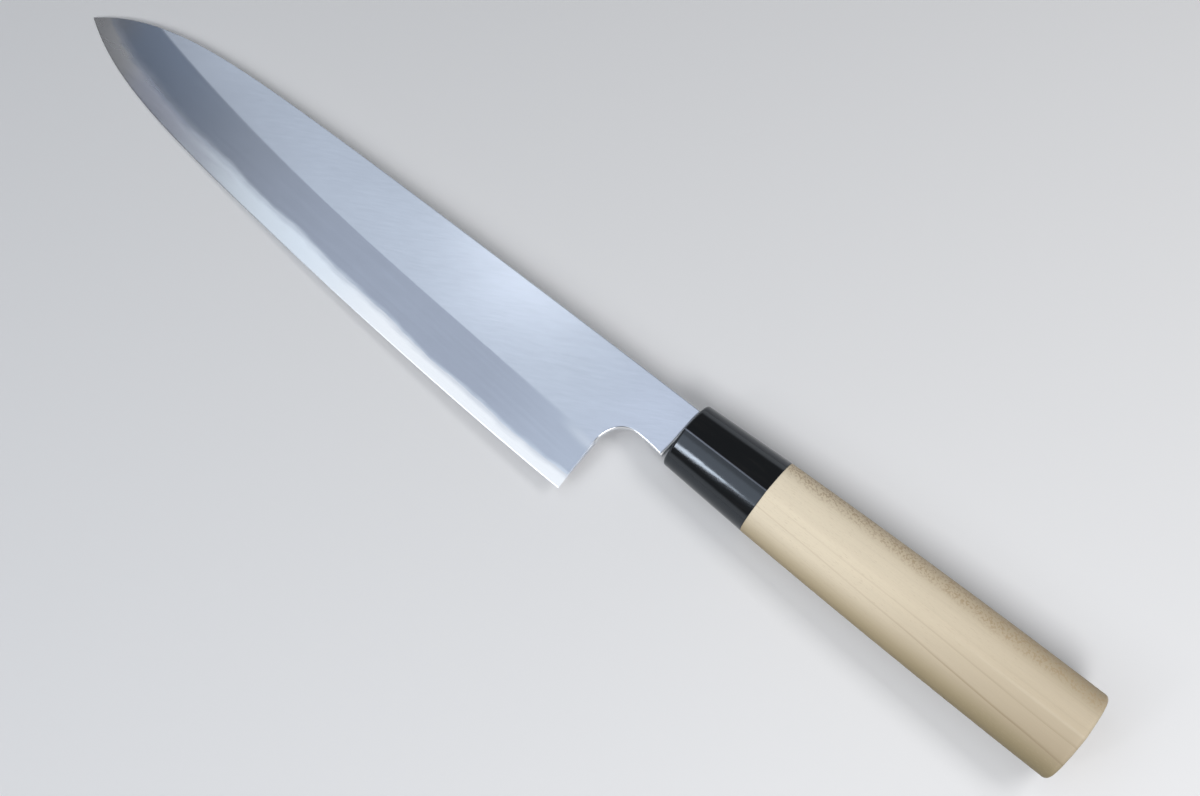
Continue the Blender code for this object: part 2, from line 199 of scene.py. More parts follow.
def knife_matrix(record):
    """The knife's frame in the world: X from the butt's mount, Z from both faces' mounts."""
    mounts = {mount["name"]: mount for mount in record["mounts"]}
    along = Vector(mounts["butt_end"]["axis"]).normalized()
    out = Vector(mounts["left_face"]["axis"]) - Vector(mounts["right_face"]["axis"])
    out = (out - along * out.dot(along)).normalized()
    across = out.cross(along)
    origin = Vector(mounts["butt_end"]["pos_m"]) - along * HANDLE_LENGTH
    turn = Matrix((along, across, out)).transposed()
    return Matrix.Translation(origin) @ turn.to_4x4()


KNIFE = knife_matrix(frame["record"])


def form(shares, way):
    """How far a curve of the outline has gone, from 0 to 1, part of the way to its end."""
    way = within(way, 0.0, 1.0)
    return sum(share * way**power for share, power in shares)


def edge_y(x):
    way = (HEEL_X - x) / EDGE_LENGTH
    return -HEEL_DROP + (HEEL_DROP - TIP_DROP) * form(EDGE_FORM, way)


def spine_y(x):
    way = x / TIP_X
    return SPINE_RISE - (SPINE_RISE + TIP_DROP) * form(SPINE_FORM, way)


def shinogi_y(x):
    """The line where the bevel starts: straight by the heel, run out at the spine where all is bevel."""
    if x <= RUNOUT_X:
        return spine_y(x)
    way = (HEEL_X - min(x, SHINOGI_STRAIGHT_X)) / (HEEL_X - RUNOUT_X)
    y = -SHINOGI_DROP + (SHINOGI_DROP + spine_y(RUNOUT_X)) * form(SHINOGI_FORM, way)
    return y - SHINOGI_FALL * max(x - SHINOGI_STRAIGHT_X, 0.0)


def shinogi_soft(x):
    """Half the width over which the shinogi is blended; the polish has made it softer by the heel."""
    way = within(1 - (HEEL_X - x) / SHINOGI_SOFT_REACH, 0.0, 1.0)
    room = max(spine_y(x) - shinogi_y(x), 0.0) / 4
    return min(mix(SHINOGI_SOFT, SHINOGI_SOFT_HEEL, way**2), room)


def face_half(x, y):
    """Half the thickness of the flat upper face, which is one plane on each side."""
    thinning = (SPINE_THICKNESS - POINT_THICKNESS) / 2 / -RUNOUT_X
    return SPINE_THICKNESS / 2 + thinning * x - FACE_FALL * (SPINE_RISE - y)


def bevel_slope(x):
    x = within(x, RUNOUT_X, HEEL_X)
    rise = face_half(x, shinogi_y(x)) - EDGE_LAND
    return rise / (shinogi_y(x) - edge_y(x))


def blade_half(x, y):
    """Half the thickness at any point of the blade and its neck."""
    if x > HEEL_X:
        return face_half(x, y)
    height = max(y - edge_y(x), 0.0)
    return min(face_half(x, y), EDGE_LAND + bevel_slope(x) * height, EDGE_SLOPE * height)


def core_show(x):
    """Height of the bare core above the edge."""
    way = within((HEEL_X - x) / EDGE_LENGTH, 0.0, 1.0)
    height = mix(CORE_SHOW_HEEL, CORE_SHOW_TIP, way)
    for size, turns, phase in CORE_WAVES:
        height += size * math.sin(2 * math.pi * turns * way + phase)
    return height


def core_half(x):
    x = min(x, HEEL_X)
    return EDGE_LAND + bevel_slope(x) * core_show(x)


def tang_half_height(x):
    way = within(x / TANG_LENGTH, 0.0, 1.0)
    return mix(TANG_HEIGHT, TANG_END_HEIGHT, way) / 2


def tang_half(x):
    return mix(SPINE_THICKNESS, TANG_END_THICKNESS, x / TANG_LENGTH) / 2


def neck_end(y):
    """Where the neck ends: its end leans, from the spine down to the underside."""
    way = (y + CHOIL_TOP + NECK_FLARE) / (SPINE_RISE + CHOIL_TOP + NECK_FLARE)
    return mix(NECK_END_BOTTOM, NECK_END_TOP, way)


def metal_half(x, y):
    """Half the thickness anywhere from tip to tang end, with a small chamfer on the neck's end."""
    chamfer = within((x - neck_end(y) + NECK_CHAMFER) / NECK_CHAMFER, 0.0, 1.0) * NECK_CHAMFER_DROP
    if x > 0:
        return min(tang_half(x), face_half(0, y)) - chamfer
    return blade_half(x, y) - chamfer


def cladding_front():
    """Where the lamination line meets the spine, found by halving the stretch near the tip."""
    low = TIP_X
    high = RUNOUT_X
    for _ in range(HALVINGS):
        middle = (low + high) / 2
        if edge_y(middle) + core_show(middle) + WELD_GAP / bevel_slope(middle) > spine_y(middle):
            low = middle
        else:
            high = middle
    return high


def core_rows(x):
    """Heights of the core's rows below the shinogi line: edge, fine bevel and lamination line."""
    edge = edge_y(x)
    return [edge, edge + EDGE_LAND / (EDGE_SLOPE - bevel_slope(x)), edge + core_show(x)]


def cladding_rows(x):
    return [edge_y(x) + core_show(x) + WELD_GAP / bevel_slope(x)]


def spine_rounding(x):
    """The rounding along the spine, which shrinks with the cladding towards the tip."""
    room = blade_half(x, spine_y(x)) - core_half(x) - WELD_GAP
    return min(SPINE_ROUND, max(room, 0.0) / 2)


TURNS = [step / ROUND_STEPS for step in range(1, ROUND_STEPS + 1)]


def rounded_row(inner, outer):
    """Plan points (x, y, turn) over a rounded rim; turn runs from 0, flat, to 1, on the outline."""
    points = [(*inner, 0.0)]
    for turn in TURNS:
        way = math.sin(math.pi / 2 * turn)
        points.append((mix(inner[0], outer[0], way), mix(inner[1], outer[1], way), turn))
    return points


def choil_curve():
    """Pairs of plan points round the choil and under the neck: a rounding inside, and on the outline."""
    pairs = []
    turn_columns = NECK_COLUMNS // 2
    for i in range(turn_columns + 1):
        angle = math.pi / 2 * i / turn_columns
        x = HEEL_X + CHOIL_LENGTH * (1 - math.cos(angle))
        y = CHOIL_BOTTOM + CHOIL_RISE * math.sin(angle)
        inward = Vector((-math.cos(angle) / CHOIL_LENGTH, math.sin(angle) / CHOIL_RISE)).normalized()
        inward *= mix(SPINE_ROUND, CHOIL_ROUND, math.sin(angle))
        pairs.append(((x + inward.x, y + inward.y), (x, y)))
    start = HEEL_X + CHOIL_LENGTH
    under_columns = NECK_COLUMNS - turn_columns
    for i in range(1, under_columns + 1):
        way = i / under_columns
        x = mix(start, NECK_END_BOTTOM, way)
        y = -CHOIL_TOP - NECK_FLARE * way**2
        pairs.append(((x, y + CHOIL_ROUND), (x, y)))
    return pairs


def ridge_rows(x):
    """Heights of the two rows between which the crease of the shinogi is blended."""
    return [shinogi_y(x) - shinogi_soft(x), shinogi_y(x) + shinogi_soft(x)]


def spine_rim(x):
    """Plan points over the rounding along the spine."""
    return rounded_row((x, spine_y(x) - spine_rounding(x)), (x, spine_y(x)))


def blade_column(x, low_rows, levels):
    """Plan points from the layer's lower border up to the spine, in which no row runs past the next."""
    rim = spine_rim(x)
    inner = rim[0][1]
    rows = low_rows(x) + ridge_rows(x)
    rows += [mix(rows[-1], inner, level) for level in levels]
    climbing = []
    for y in rows:
        climbing.append(min(max([y, *climbing]), inner))
    return [(x, y, 0.0) for y in climbing] + rim


def neck_columns(first, curve):
    """Columns above the choil and the neck's underside, whose middle rows run over into the tang's."""
    columns = [first]
    for i in range(1, len(curve)):
        way = i / (len(curve) - 1)
        top_x = mix(HEEL_BACK, NECK_END_TOP, way)
        bottom_x, bottom_y = curve[i][0]
        middle = []
        for share, heel_y, y in zip((1 / 3, 2 / 3), TANG_ROWS_AT_HEEL, TANG_ROWS):
            middle.append((mix(bottom_x, top_x, share), mix(heel_y, y, way), 0.0))
        columns.append([(bottom_x, bottom_y, 0.0), *middle, *spine_rim(top_x)])
    return columns


def tang_columns(first):
    columns = [first]
    for x in (FERRULE_FRONT, TANG_LENGTH - TANG_POINT, TANG_LENGTH):
        half = tang_half_height(x)
        if x == TANG_LENGTH:
            half -= TANG_POINT / 2
        columns.append([(x, -half, 0.0), (x, half, 0.0)])
    return columns


def blade_blocks(low_rows, front):
    """The plan of one layer of the blade, as blocks of columns of (x, y, turn) points.

    The columns run from the front point to the heel, strips round the heel's rear edge, more columns run
    on above the choil to the neck's end, and two more blocks hold the choil's rounded rim and the tang.
    """
    base = ridge_rows(HEEL_BACK)[-1]
    heel_span = spine_rim(HEEL_BACK)[0][1] - base
    levels = [(y - base) / heel_span for y in (CHOIL_BOTTOM, *TANG_ROWS_AT_HEEL)]
    blade = []
    for i in range(BLADE_COLUMNS + 1):
        way = (i / BLADE_COLUMNS) ** TIP_CROWDING
        blade.append(blade_column(mix(front, HEEL_BACK, way), low_rows, levels))

    heel = []
    for x, _, turn in rounded_row((HEEL_BACK, 0), (HEEL_X, 0)):
        heel.append([(x, y, turn) for y in low_rows(x) + ridge_rows(x) + [CHOIL_BOTTOM]])

    above_ridge = len(heel[0]) - 1
    curve = choil_curve()
    neck = neck_columns(blade[-1][above_ridge:], curve)
    choil = [rounded_row(inner, outer) for inner, outer in curve]
    tang = tang_columns(neck[-1][1:3])
    return [blade, heel, neck, choil, tang]


def plate(blocks, upper, lower):
    """A closed bmesh over a plan: an upper and a lower surface, and a wall along every free edge.

    Plan points that agree to PLAN_DIGITS are one, and where both surfaces meet they share their vertex.
    """
    mesh = bmesh.new()
    rims = mesh.verts.layers.float.new("rim")
    tops = {}
    bottoms = {}
    uses = {}

    def corner(x, y, turn):
        key = (round(x, PLAN_DIGITS), round(y, PLAN_DIGITS))
        if key not in tops:
            top = upper(x, y, turn)
            bottom = lower(x, y, turn)
            tops[key] = mesh.verts.new((x, y, top))
            bottoms[key] = tops[key] if top - bottom < ZERO_WIDTH else mesh.verts.new((x, y, bottom))
            tops[key][rims] = bottoms[key][rims] = min(2 * turn, 1.0)
        return key

    def face(corners):
        ring = list(dict.fromkeys(corners))
        if len(ring) > 2:
            mesh.faces.new(ring)

    for columns in blocks:
        for left, right in zip(columns, columns[1:]):
            for i in range(len(left) - 1):
                keys = [corner(*p) for p in (left[i], right[i], right[i + 1], left[i + 1])]
                keys = list(dict.fromkeys(keys))
                if len(keys) < 3:
                    continue
                face([tops[k] for k in keys])
                face([bottoms[k] for k in reversed(keys)])
                for a, b in zip(keys, keys[1:] + keys[:1]):
                    uses.setdefault(frozenset((a, b)), []).append((a, b))

    for ways in uses.values():
        if len(ways) == 1:
            a, b = ways[0]
            face([tops[b], tops[a], bottoms[a], bottoms[b]])
    return mesh


def store(data, name, kind, values):
    """Keeps one value for each vertex under a name that the finishes read."""
    layer = data.attributes.new(name, kind, "POINT")
    field = "vector" if kind == "FLOAT_VECTOR" else "value"
    for entry, value in zip(layer.data, values):
        setattr(entry, field, value)


def above_weld(point):
    """How high a point lies above the lamination line."""
    return point.y - edge_y(point.x) - core_show(point.x)


def below_ridge(point):
    """How far a point lies below the shinogi."""
    return shinogi_y(point.x) - point.y


def past_neck(point):
    """How far a point lies beyond the neck's end, along the knife."""
    return point.x - neck_end(point.y)


BLADE_MEASURES = {"above_weld": above_weld, "below_ridge": below_ridge, "past_neck": past_neck}


def add_piece(name, mesh, material, replaced, blade=False, crease=CREASE_DEGREES):
    """A closed bmesh of the knife's frame as a visible piece, which stands for a CAD node."""
    bmesh.ops.recalc_face_normals(mesh, faces=mesh.faces)
    data = bpy.data.meshes.new(name)
    mesh.to_mesh(data)
    mesh.free()
    places = [vertex.co.copy() for vertex in data.vertices]
    store(data, "knife_place", "FLOAT_VECTOR", [place / MM for place in places])
    if blade:
        for measure, function in BLADE_MEASURES.items():
            store(data, measure, "FLOAT", [function(place) / MM for place in places])
    data.transform(KNIFE)
    data.materials.append(material)
    data.shade_smooth()
    data.set_sharp_from_angle(angle=math.radians(crease))
    piece = bpy.data.objects.new(name, data)
    bpy.context.scene.collection.objects.link(piece)
    even = piece.modifiers.new("even_faces", "WEIGHTED_NORMAL")
    even.mode = "FACE_AREA"
    even.weight = LARGE_FACE_WEIGHT
    even.keep_sharp = True
    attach(piece, "root")
    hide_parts(replaced)
    return piece


def make_core(material):
    """The hard centre layer, whose lower edge is the cutting edge."""
    def surface(x, y, turn):
        return min(metal_half(x, y), core_half(x))

    mesh = plate(blade_blocks(core_rows, TIP_X), surface, lambda *point: -surface(*point))
    return add_piece(
        "core_layer", mesh, material, "core_steel", blade=True, crease=CORE_CREASE_DEGREES
    )


def make_cladding(name, side, material, replaced):
    """A soft outer layer; side is 1 for the left and -1 for the right."""
    def inner(x, y, turn):
        return core_half(x) + WELD_GAP

    def outer(x, y, turn):
        full = max(metal_half(x, y), inner(x, y, turn))
        room = full - inner(x, y, turn)
        rim = CHOIL_ROUND if x > HEEL_X and y < 0 else SPINE_ROUND
        return full - min(rim, room / 2) * (1 - math.cos(math.pi / 2 * turn))

    mesh = plate(blade_blocks(cladding_rows, cladding_front()), outer, inner)
    bmesh.ops.transform(mesh, matrix=Matrix.Scale(side, 4, (0, 0, 1)), verts=mesh.verts)
    return add_piece(name, mesh, material, replaced, blade=True)


def oval(half_height, half_width, power, count):
    """Points (y, z) of an oval that is the squarer, the higher its power."""
    points = []
    for i in range(count):
        angle = 2 * math.pi * i / count
        across = math.copysign(abs(math.cos(angle)) ** (2 / power), math.cos(angle))
        out = math.copysign(abs(math.sin(angle)) ** (2 / power), math.sin(angle))
        points.append((half_height * across, half_width * out))
    return points


def d_section(height, thickness, inset=0.0):
    """Points (y, z) round the handle: an oval that rises to a soft ridge in the middle of its left side."""
    half_height = height / 2 - inset
    half_thickness = thickness / 2 - inset
    points = []
    for across, out in oval(1.0, 1.0, OVAL_POWER, SECTION_POINTS):
        if out > 0:
            bent = math.hypot(across, RIDGE_SOFT) - RIDGE_SOFT
            out = mix(out, 1 - bent, RIDGE_SHARE)
        points.append((half_height * across, half_thickness * out))
    return points


def loft(rings, closed=False):
    """A closed bmesh through rings of (x, points), capped at both ends or closed on itself like a tyre."""
    mesh = bmesh.new()
    loops = [[mesh.verts.new((x, y, z)) for y, z in points] for x, points in rings]
    count = len(loops[0])
    following = loops[1:] + loops[:1] if closed else loops[1:]
    for first, second in zip(loops, following):
        for i in range(count):
            j = (i + 1) % count
            mesh.faces.new((first[i], first[j], second[j], second[i]))
    if not closed:
        mesh.faces.new(loops[0])
        mesh.faces.new(loops[-1])
    return mesh


def corner_steps(radius, steps):
    """Pairs (distance from the end face, inset) round a quarter circle, starting on the end face."""
    pairs = []
    for i in range(steps + 1):
        angle = math.pi / 2 * i / steps
        pairs.append((radius * (1 - math.cos(angle)), radius * (1 - math.sin(angle))))
    return pairs


def ferrule_size(x):
    way = x / FERRULE_LENGTH
    return mix(FERRULE_HEIGHT, JOINT_HEIGHT, way), mix(FERRULE_THICKNESS, JOINT_THICKNESS, way)


def wood_size(x):
    """Height and thickness of the wood at a distance from the joint; it swells fast, then runs level."""
    way = x / WOOD_LENGTH
    swell = 2 * way - way**2
    return mix(JOINT_HEIGHT, BUTT_HEIGHT, swell), mix(JOINT_THICKNESS, BUTT_THICKNESS, swell)


def dowel_socket():
    """The round section of the socket that holds the dowel."""
    radius = DOWEL_RADIUS + DOWEL_CLEARANCE
    return oval(radius, radius, 2, SECTION_POINTS)


def make_ferrule(material):
    """The horn collar: one skin from the mouth over the outside to the joint, and back by the socket."""
    socket = dowel_socket()
    mouth = oval(MOUTH_HEIGHT / 2, MOUTH_WIDTH / 2, MOUTH_CORNERS, SECTION_POINTS)
    rings = [(MOUTH_DEPTH, socket), (MOUTH_DEPTH, mouth), (FERRULE_FRONT, mouth)]
    for distance, inset in corner_steps(FERRULE_ROUND, CORNER_STEPS):
        x = FERRULE_FRONT + distance
        rings.append((x, d_section(*ferrule_size(x), inset)))
    end = FERRULE_LENGTH - JOINT_CHAMFER
    rings.append((end, d_section(*ferrule_size(end))))
    rings.append((FERRULE_LENGTH, d_section(*ferrule_size(FERRULE_LENGTH), JOINT_CHAMFER)))
    rings.append((FERRULE_LENGTH, socket))
    return add_piece("horn_ferrule", loft(rings, closed=True), material, "ferrule")


def make_grip(material):
    """The wooden grip: from the tang's slot by the dowel's socket, and over the outside to the butt."""
    socket = dowel_socket()
    socket_end = WOOD_START + DOWEL_IN_WOOD + DOWEL_CLEARANCE
    rings = []
    for x in (TANG_LENGTH + TANG_END_ROOM, socket_end):
        half_height = tang_half_height(x) + TANG_CLEARANCE
        slot = oval(half_height, tang_half(x) + TANG_CLEARANCE, SLOT_CORNERS, SECTION_POINTS)
        rings.append((x, slot))
    rings += [(socket_end, socket), (WOOD_START, socket)]
    rings.append((WOOD_START, d_section(*wood_size(0.0), JOINT_CHAMFER)))
    stations = [JOINT_CHAMFER] + [WOOD_LENGTH * i / WOOD_RINGS for i in range(1, WOOD_RINGS)]
    stations = [x for x in stations if x < WOOD_LENGTH - BUTT_ROUND]
    rings += [(WOOD_START + x, d_section(*wood_size(x))) for x in stations]
    for distance, inset in reversed(corner_steps(BUTT_ROUND, CORNER_STEPS)):
        x = WOOD_LENGTH - distance
        rings.append((WOOD_START + x, d_section(*wood_size(x), inset)))
    return add_piece("magnolia_grip", loft(rings), material, "handle")


def make_seal(material):
    """The ring of resin in the ferrule's mouth, whose face sags between the horn and the tang."""
    back = MOUTH_DEPTH - SEAL_SINK
    outside = (MOUTH_HEIGHT / 2 - SEAL_CLEARANCE, MOUTH_WIDTH / 2 - SEAL_CLEARANCE)
    inside = (TANG_HEIGHT / 2 + SEAL_CLEARANCE, SPINE_THICKNESS / 2 + SEAL_CLEARANCE)
    rings = [(back, oval(*outside, MOUTH_CORNERS, SEAL_POINTS))]
    for step in range(SEAL_STEPS + 1):
        way = step / SEAL_STEPS
        sag = MENISCUS * 4 * way * (1 - way)
        size = [mix(a, b, way) for a, b in zip(outside, inside)]
        rings.append((FERRULE_FRONT + SEAL_SINK + sag, oval(*size, MOUTH_CORNERS, SEAL_POINTS)))
    rings.append((back, oval(*inside, MOUTH_CORNERS, SEAL_POINTS)))
    return add_piece("resin_seal", loft(rings, closed=True), material, "tang_seal")


# Where the Mix node keeps its two colours and their mixture
MIX_A = 6
MIX_B = 7
MIX_RESULT = 2


class Nodes:
    """A node tree, built by short calls that take and give sockets or plain values."""

    def __init__(self, tree):
        self.tree = tree

    def node(self, kind, inputs, output=0, **settings):
        made = self.tree.nodes.new(kind)
        for name, value in settings.items():
            setattr(made, name, value)
        for key, value in inputs.items():
            if isinstance(value, bpy.types.NodeSocket):
                self.tree.links.new(value, made.inputs[key])
            else:
                made.inputs[key].default_value = value
        return made.outputs[output]

    def axis(self, vector, letter):
        return self.node("ShaderNodeSeparateXYZ", {0: vector}, letter)

    def math(self, operation, a, b=0.0, clamp=False):
        return self.node("ShaderNodeMath", {0: a, 1: b}, operation=operation, use_clamp=clamp)

    def product(self, value, *factors):
        for factor in factors:
            value = self.math("MULTIPLY", value, factor)
        return value

    def apart(self, value, line):
        """How far the value is from the line, on either side."""
        return self.math("ABSOLUTE", self.math("SUBTRACT", value, line))

    def ramp(self, value, low, high, start=0.0, end=1.0):
        """Value from low to high as a smooth step from start to end."""
        inputs = {"Value": value, "From Min": low, "From Max": high, "To Min": start, "To Max": end}
        return self.node("ShaderNodeMapRange", inputs, interpolation_type="SMOOTHSTEP")

    def level(self, way, a, b):
        """Number a where way is 0, b where it is 1."""
        return self.node("ShaderNodeMapRange", {"Value": way, "To Min": a, "To Max": b})

    def blend(self, way, a, b):
        """Colour a where way is 0, b where it is 1."""
        a, b = [(*colour, 1.0) if isinstance(colour, tuple) else colour for colour in (a, b)]
        inputs = {"Factor": way, MIX_A: a, MIX_B: b}
        return self.node("ShaderNodeMix", inputs, MIX_RESULT, data_type="RGBA")

    def background_rays(self):
        """1 for the rays that see or mirror the background, 0 for the light that it throws."""
        path = self.tree.nodes.new("ShaderNodeLightPath").outputs
        seen = self.math("ADD", path["Is Camera Ray"], path["Is Glossy Ray"])
        return self.math("ADD", seen, path["Is Transmission Ray"], clamp=True)


class Finish(Nodes):
    """A material. The knife's patterns are laid out in the knife's frame, in millimetres."""

    def __init__(self, name, **constants):
        self.material = bpy.data.materials.new(name)
        self.material.use_nodes = True
        super().__init__(self.material.node_tree)
        self.shader = self.tree.nodes["Principled BSDF"]
        for socket, value in constants.items():
            self.shader.inputs[socket.replace("_", " ")].default_value = value

    def attribute(self, name):
        output = "Vector" if name == "knife_place" else "Fac"
        return self.node("ShaderNodeAttribute", {}, output, attribute_name=name)

    def grain(self, place, size, turn=0.0, detail=2.0, roughness=0.55, seed=0.0):
        """Noise from 0 to 1 whose grains measure about size in millimetres, turned about Z."""
        turned = self.node(
            "ShaderNodeVectorRotate",
            {"Vector": place, "Axis": (0, 0, 1), "Angle": -math.radians(turn)},
            rotation_type="AXIS_ANGLE",
        )
        scale = tuple(1 / length for length in size)
        scaled = self.node("ShaderNodeVectorMath", {0: turned, 1: scale}, operation="MULTIPLY")
        inputs = {"Vector": scaled, "W": seed, "Scale": 1.0, "Detail": detail, "Roughness": roughness}
        return self.node("ShaderNodeTexNoise", inputs, noise_dimensions="4D")

    def shade(self, colour, value, amount):
        """The colour, darker by amount where value is 0 and lighter by as much where it is 1."""
        gain = self.level(value, 1 - amount, 1 + amount)
        if isinstance(colour, tuple):
            colour = self.node("ShaderNodeCombineXYZ", dict(enumerate(colour)))
        return self.node("ShaderNodeVectorMath", {0: colour, "Scale": gain}, operation="SCALE")

    def bump(self, height, depth):
        """Relief of that depth in metres."""
        normal = self.node("ShaderNodeBump", {"Height": height, "Distance": depth, "Strength": 1.0})
        self.tree.links.new(normal, self.shader.inputs["Normal"])

    def surface(self, colour, roughness):
        self.tree.links.new(colour, self.shader.inputs["Base Color"])
        self.tree.links.new(roughness, self.shader.inputs["Roughness"])
        return self.material


# Colours of the finishes, as linear values
HIRA = (0.545, 0.588, 0.665)
# The upper face's paler tone at the neck is painted light.
HIRA_NECK_PAINTED_LIGHT = (0.600, 0.645, 0.745)
BEVEL = (0.402, 0.438, 0.515)
# The bevel's darker tone towards the tip is painted shade, partly the finish.
BEVEL_TIP_SHADED = (0.328, 0.383, 0.487)
BEVEL_POINT = (0.385, 0.405, 0.455)
# The bevel's paler tone by the heel is painted light.
BEVEL_HEEL_PAINTED_LIGHT = (0.495, 0.540, 0.628)
# A painted highlight below the shinogi by the heel.
HEEL_PAINTED_HIGHLIGHT = (0.660, 0.700, 0.770)
POLISHED_RIM = (0.93, 0.94, 0.95)
CORE = (0.995, 0.995, 0.995)
CORE_COOL = (0.885, 0.940, 0.995)
# The core's greyer tones towards the tip are painted shade, partly the finish.
CORE_TIP_SHADED = (0.665, 0.680, 0.765)
CORE_TIP_CLOUD_SHADED = (0.600, 0.618, 0.702)
CORE_POINT = (0.640, 0.630, 0.625)
# The tang's dark forge scale also stands for the shade in the gap by the neck's end: painted shade.
FORGE_SCALE_AND_SHADE = (0.030, 0.030, 0.033)
HORN = (0.0060, 0.0064, 0.0070)
HORN_STREAK = (0.016, 0.015, 0.014)
# The horn ridge's pale line is a painted highlight.
HORN_RIDGE_HIGHLIGHT = (0.160, 0.175, 0.215)
WOOD = (0.89, 0.785, 0.610)
# The wood's darker tones towards the butt and on both rims are painted shade.
WOOD_SHADED = (0.48, 0.39, 0.270)
WOOD_RIM_SHADE = (0.60, 0.49, 0.310)
WOOD_RIM_SHADE_BUTT = (0.38, 0.31, 0.185)
# The wood ridge's pale line is a painted highlight, and the darker tone below it painted shade.
WOOD_RIDGE_HIGHLIGHT = (0.93, 0.85, 0.70)
WOOD_LINE = (0.60, 0.475, 0.325)
# The ring lines' darker tone towards the butt is painted shade.
WOOD_LINE_SHADED = (0.36, 0.28, 0.185)
WOOD_FLECK = (0.50, 0.36, 0.215)
WOOD_PORE = (0.58, 0.46, 0.32)
DOWEL = (0.66, 0.54, 0.38)
DOWEL_LINE = (0.50, 0.38, 0.24)
RESIN = (0.030, 0.027, 0.024)
RESIN_LIGHT = (0.060, 0.052, 0.045)
FLOOR_SHOWN = (0.84, 0.84, 0.85)
FLOOR_BOUNCE = (0.16, 0.16, 0.16)
COOL = (0.86, 0.92, 1.0)
PALE_COOL = (0.95, 0.97, 1.0)
WHITE = (1.0, 1.0, 1.0)
BLACK = (0.0, 0.0, 0.0)

# Where the looks change along the blade, in millimetres: by the neck and heel, towards the tip and at its
# point. By the neck and heel the paler tones are painted light, and towards the tip the darker ones are
# partly painted shade.
HIRA_TO_NECK = (-40.0, -4.0)
BEVEL_TO_HEEL = (-60.0, -16.0)
BEVEL_TO_TIP = (-148.0, -200.0)
BEVEL_TO_POINT = (-204.0, -220.0)
CORE_TO_COOL = (-80.0, -125.0)
CORE_TO_POINT = (-194.0, -208.0)
LAYERS_TO_TIP = (-146.0, -186.0)
TIP_CLOUDING = 20.0
HIGHLIGHT_TO_HEEL = (-31.0, -20.0)
BORDER_TO_HEEL = (-60.0, -22.0)
BORDER_TO_TIP = (-115.0, -165.0)

# The same across the blade: how wide and ragged the border at the shinogi is, how far wisps and haze reach
# from the weld, how far the painted highlight by the heel reaches below the shinogi, and where the polish
# of the choil begins
BORDER_WIDTH = 0.35
BORDER_WIDTH_HEEL = 1.6
BORDER_MORE_TIP = 0.6
BORDER_RAGGED = 0.2
WISPS = 0.8
HAZE_ABOVE = 1.4
HAZE_ABOVE_TIP = 2.8
HAZE_ABOVE_FULL = -0.3
HAZE_BELOW = (-1.7, 0.1)
HIGHLIGHT_BELOW_RIDGE = (3.6, 0.9)
POLISHED_FROM = (-18.0, -16.0)

# The finish round the neck's end, by the millimetres beyond that end: on its chamfer, and on the tang,
# whose dark scale is partly painted shade
ON_CHAMFER = (-0.38, -0.30)
ON_TANG = (0.02, 0.06)

# The painted highlight on the horn's ridge, in millimetres: its line, its width, and how it fades down and
# back
HORN_RIDGE_Y = 0.15
HORN_RIDGE_WIDTH = (0.34, 0.06)
HORN_RIDGE_DOWN = (4.0, 7.0)
HORN_RIDGE_BACK = (60.0, 0.0)

# The wood in millimetres: what changes towards the butt, and what changes across it, painted shade and
# highlight among them
WOOD_TO_BUTT = (22.0, 140.0)
RINGS_TO_BUTT = (50.0, 110.0)
RIDGE_TO_BUTT = (70.0, 115.0)
SHADOW_TO_BUTT = (50.0, 125.0)
WOOD_RIDGE_Y = -0.2
WOOD_RIDGE_WIDTH = (0.60, 0.10)
BELOW_WOOD_RIDGE = (0.5, -0.5)
SHADED_ACROSS = (6.0, -9.0)
LOWER_RIM = (-6.0, -13.0)
UPPER_RIM = (4.0, 12.0)
FLECKED_SIDE = (6.4, 9.6)
FLECKED_CLOUDING = 1.5

# The wood's ring lines in millimetres: they lean with Z, wander, and spread from about the wood's start
RING_FIRST = 2.7
RING_STEP = 2.9
RING_LEAN = 0.12
RING_WANDER = 0.5
RING_SPREAD = 1.71
RING_SPREAD_START = 28.7
RING_SPREAD_LENGTH = 100.0

# How high the lamps hang over the knife's axis
LAMP_HEIGHT = 0.50
GLINT_HEIGHT = 0.48

# The world: its light, and how high its pale background reaches, as the sine of the height
AMBIENT = 0.12
BACKDROP = 0.80
BACKDROP_COLOUR = (0.98, 0.99, 1.0)
BACKDROP_FULL = 0.20
BACKDROP_END = 0.32


def way_to_tip(f, along, clouds):
    """0 along most of the blade, and 1 by the tip, with a cloudy border."""
    shifted = f.math("ADD", along, f.level(clouds, -TIP_CLOUDING, TIP_CLOUDING))
    return f.ramp(shifted, *LAYERS_TO_TIP)


def wavering_weld(f, place):
    """Height above the lamination line, as wisps blur it on the core and the cladding alike."""
    wisps = f.grain(place, (9.0, 1.2, 1.2), detail=2, seed=11)
    return f.math("ADD", f.attribute("above_weld"), f.level(wisps, -WISPS, WISPS))


def scaled_and_shaded_tang(f, colour):
    """The colour, with the dark scale of the forge beyond the neck's end, which is also painted shade."""
    # Forge scale and painted shade in the gap.
    return f.blend(f.ramp(f.attribute("past_neck"), *ON_TANG), colour, FORGE_SCALE_AND_SHADE)


def hira_colour(f, along, strokes, scratches, clouds):
    """The satin upper face: slanting strokes and scratches, and paler at the neck, which is painted light.
    """
    # Paler at the neck: painted light.
    colour = f.blend(f.ramp(along, *HIRA_TO_NECK), HIRA, HIRA_NECK_PAINTED_LIGHT)
    colour = f.shade(colour, strokes, 0.05)
    colour = f.shade(colour, scratches, 0.06)
    return f.shade(colour, clouds, 0.06)


